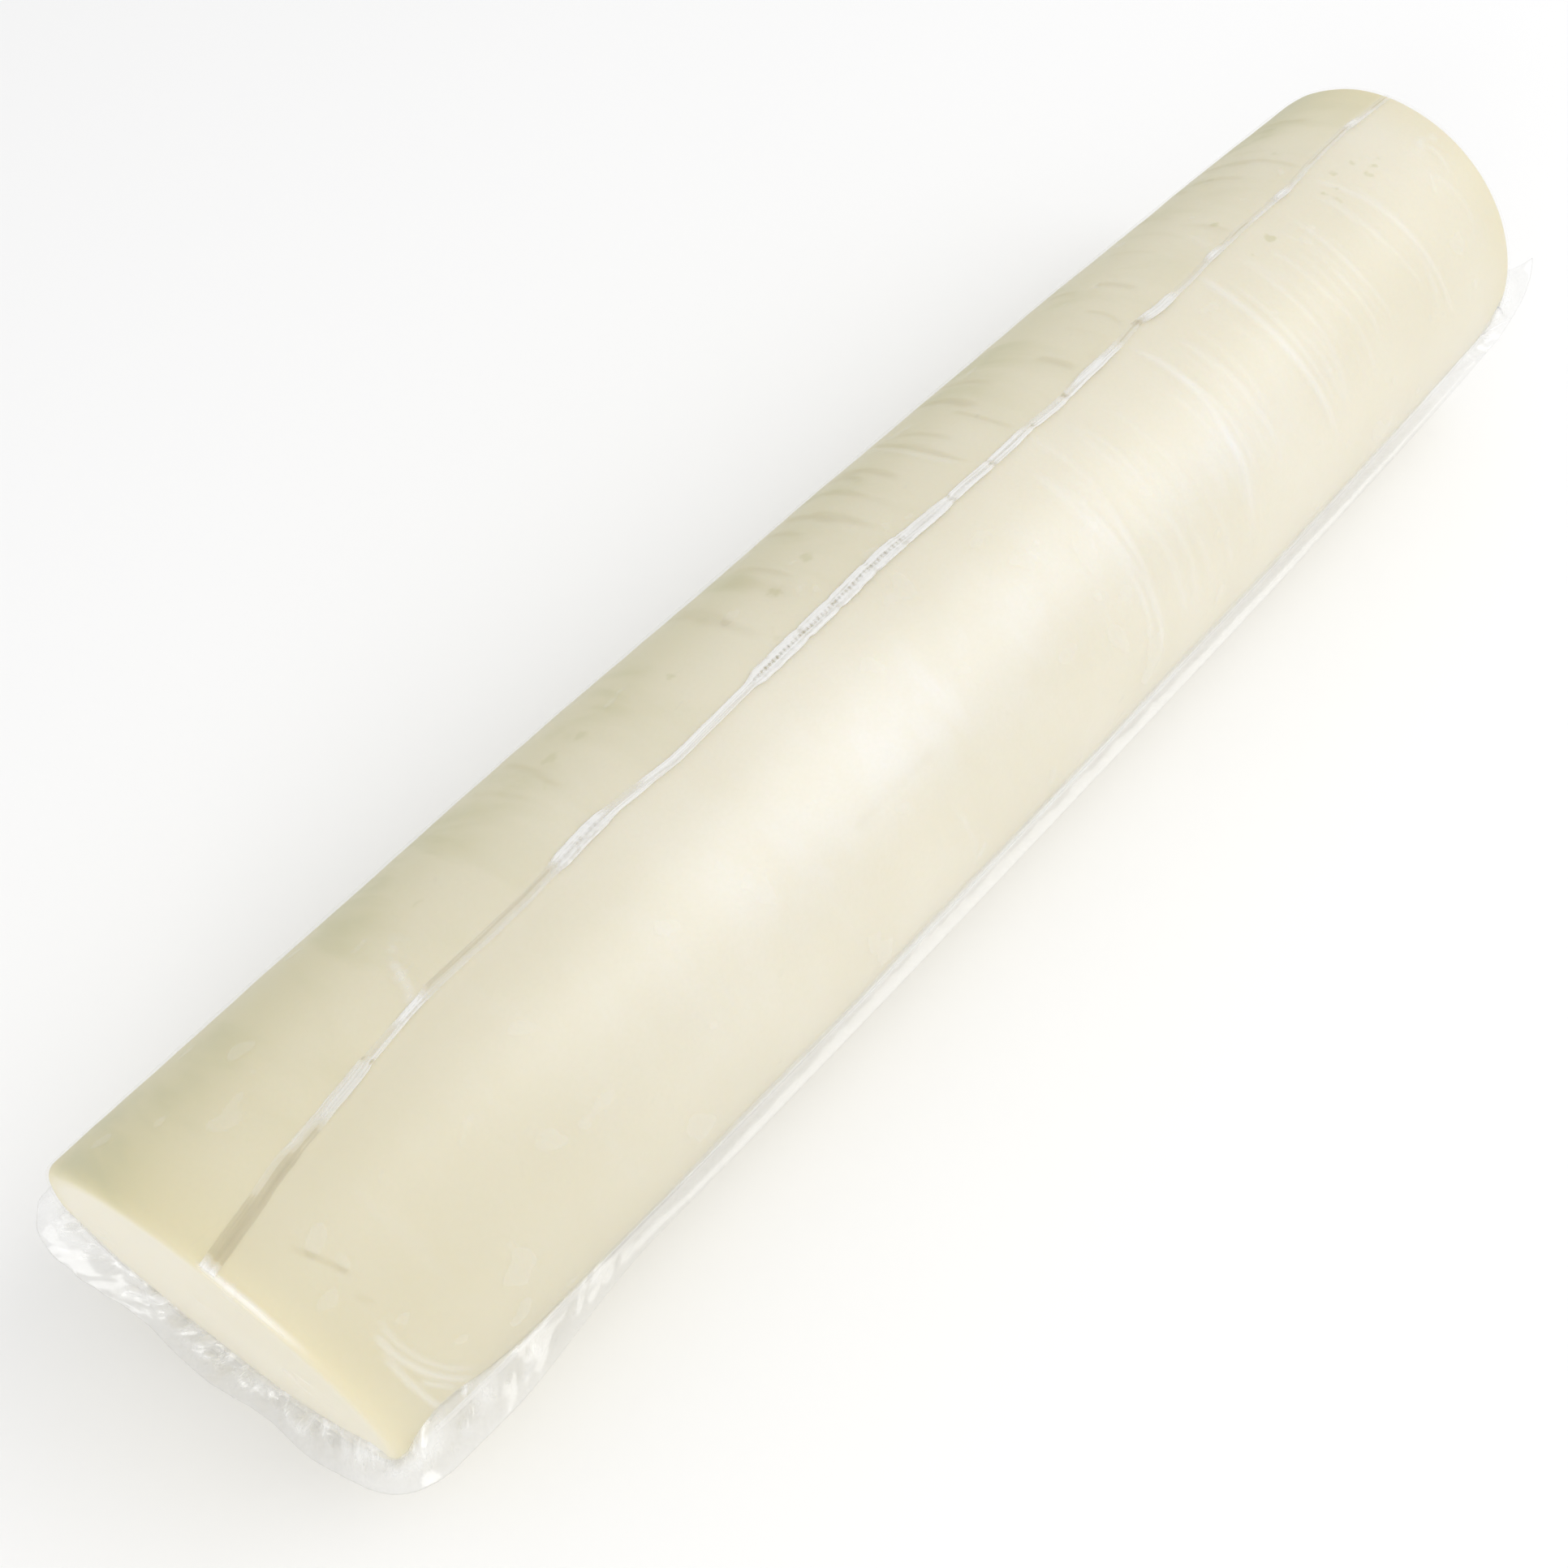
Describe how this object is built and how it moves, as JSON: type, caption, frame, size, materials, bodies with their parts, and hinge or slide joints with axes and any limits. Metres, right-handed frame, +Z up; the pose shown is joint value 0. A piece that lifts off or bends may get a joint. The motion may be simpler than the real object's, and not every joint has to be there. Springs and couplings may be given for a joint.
{
  "type": "wrapped cheese log",
  "caption": "Long round log of pale provolone cheese, slightly barrelled, in a tight clear pouch with a crimped top seam, thin sealed edges and loose film at both ends.",
  "frame": {"origin": "bottom centre of the part's box, in the flat that the log rests on", "axes": "+X along the log towards its far end, which has the raised film corner; +Y towards the log's left side; +Z up, towards the seam"},
  "size_m": [0.5506, 0.128, 0.1067],
  "materials": {
    "cheese": "smooth pale cream cheese under tight glossy film",
    "film": "thin clear pouch film with soft white creases"
  },
  "bodies": {
    "root": {"wrapped_provolone": "cheese"}
  },
  "joints": []
}
